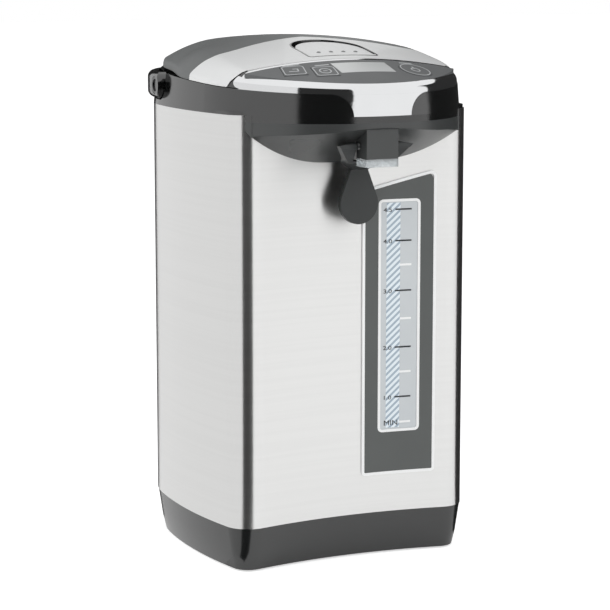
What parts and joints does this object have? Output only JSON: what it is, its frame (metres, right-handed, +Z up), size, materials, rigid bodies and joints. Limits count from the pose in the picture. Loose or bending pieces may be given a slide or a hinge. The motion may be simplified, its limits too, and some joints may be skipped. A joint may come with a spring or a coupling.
{
  "type": "hot_drink_dispenser",
  "caption": "Electric thermo pot with a steel jacket, hollow front, hinged lid with latch flap, control panel, level gauge, lever tap under the head and a folding carry handle",
  "frame": {"origin": "centre of the bounding box's underside, on the table", "axes": "+Z up, +X to the right of a person facing the tap, -Y towards that person"},
  "size_m": [0.2144, 0.2745, 0.3882],
  "materials": {
    "dark_plastic": "glossy",
    "steel_sheet": "brushed",
    "polished_trim": "polished",
    "silver_plastic": "satin",
    "panel_plastic": "matte",
    "clear_plastic": "clear",
    "soft_rubber": "matte",
    "bright_steel": "satin",
    "pale_plastic": "matte",
    "board": "matte",
    "brass_pins": "polished"
  },
  "bodies": {
    "pot": {"base_shell": "dark_plastic", "base_plate": "dark_plastic", "feet": "soft_rubber", "base_screws": "bright_steel", "jacket": "steel_sheet", "collar": "dark_plastic", "apron": "dark_plastic", "front_trim": "polished_trim", "control_panel": "panel_plastic", "display": "clear_plastic", "control_board": "board", "hinge_pin": "bright_steel", "handle_pins": "dark_plastic", "spout_block": "dark_plastic", "spout_tip": "clear_plastic", "lever_pin": "bright_steel", "lever_spring": "bright_steel", "lever_switch": "dark_plastic", "gauge_plate": "dark_plastic", "gauge_window": "clear_plastic", "sight_tube": "clear_plastic", "riser_lower": "pale_plastic", "riser_upper": "pale_plastic", "vessel": "steel_sheet", "heater": "bright_steel", "thermostat": "pale_plastic", "inlet_pipe": "pale_plastic", "pump_housing": "pale_plastic", "pump_motor": "bright_steel", "power_board": "board", "inlet_socket": "dark_plastic", "inlet_pins": "brass_pins"},
    "lid": {"lid_cover": "silver_plastic", "lid_rear": "dark_plastic", "lid_inner": "steel_sheet", "lid_seal": "soft_rubber", "flap_pin": "bright_steel", "latch_spring": "bright_steel"},
    "flap": {"latch_flap": "silver_plastic"},
    "bolt": {"latch_bolt": "dark_plastic"},
    "tap_lever": {"lever": "dark_plastic"},
    "bail": {"carry_handle": "dark_plastic"},
    "left_key": {"key_left": "panel_plastic"},
    "middle_key": {"key_middle": "panel_plastic"},
    "right_key": {"key_right": "panel_plastic"},
    "pump_wheel": {"impeller": "pale_plastic"}
  },
  "joints": [
    {"name": "lid_hinge", "type": "hinge", "parent": "pot", "child": "lid", "pos_m": [0, 0.12117, 0.3695], "axis": [-1, 0, 0], "range_deg": [0, 78]},
    {"name": "flap_hinge", "type": "hinge", "parent": "lid", "child": "flap", "pos_m": [0, -0.06896, 0.37475], "axis": [1, 0, 0], "range_deg": [0, 26], "stiffness_Nm_per_rad": 0.15},
    {"name": "bolt_slide", "type": "slide", "parent": "lid", "child": "bolt", "axis": [0, 1, 0], "range_m": [0, 0.006], "deforming": ["latch_spring"]},
    {"name": "lever_hinge", "type": "hinge", "parent": "pot", "child": "tap_lever", "pos_m": [0, -0.12246, 0.3145], "axis": [1, 0, 0], "range_deg": [0, 8], "stiffness_Nm_per_rad": 0.5, "springref_deg": -2.86, "deforming": ["lever_spring"]},
    {"name": "bail_hinge", "type": "hinge", "parent": "pot", "child": "bail", "pos_m": [0, 0.038, 0.3514], "axis": [1, 0, 0], "range_deg": [0, 90]},
    {"name": "left_key_press", "type": "slide", "parent": "pot", "child": "left_key", "axis": [0, 0, -1], "range_m": [0, 0.0006], "stiffness_N_per_m": 1200},
    {"name": "middle_key_press", "type": "slide", "parent": "pot", "child": "middle_key", "axis": [0, 0, -1], "range_m": [0, 0.0006], "stiffness_N_per_m": 1200},
    {"name": "right_key_press", "type": "slide", "parent": "pot", "child": "right_key", "axis": [0, 0, -1], "range_m": [0, 0.0006], "stiffness_N_per_m": 1200},
    {"name": "pump_spin", "type": "hinge", "parent": "pot", "child": "pump_wheel", "pos_m": [0.0386, -0.062, 0.026], "axis": [0, 0, 1], "continuous": true}
  ],
  "couplings": [
    {"joint": "bolt_slide", "follows": "flap_hinge", "m_per_rad": 0.0115}
  ]
}
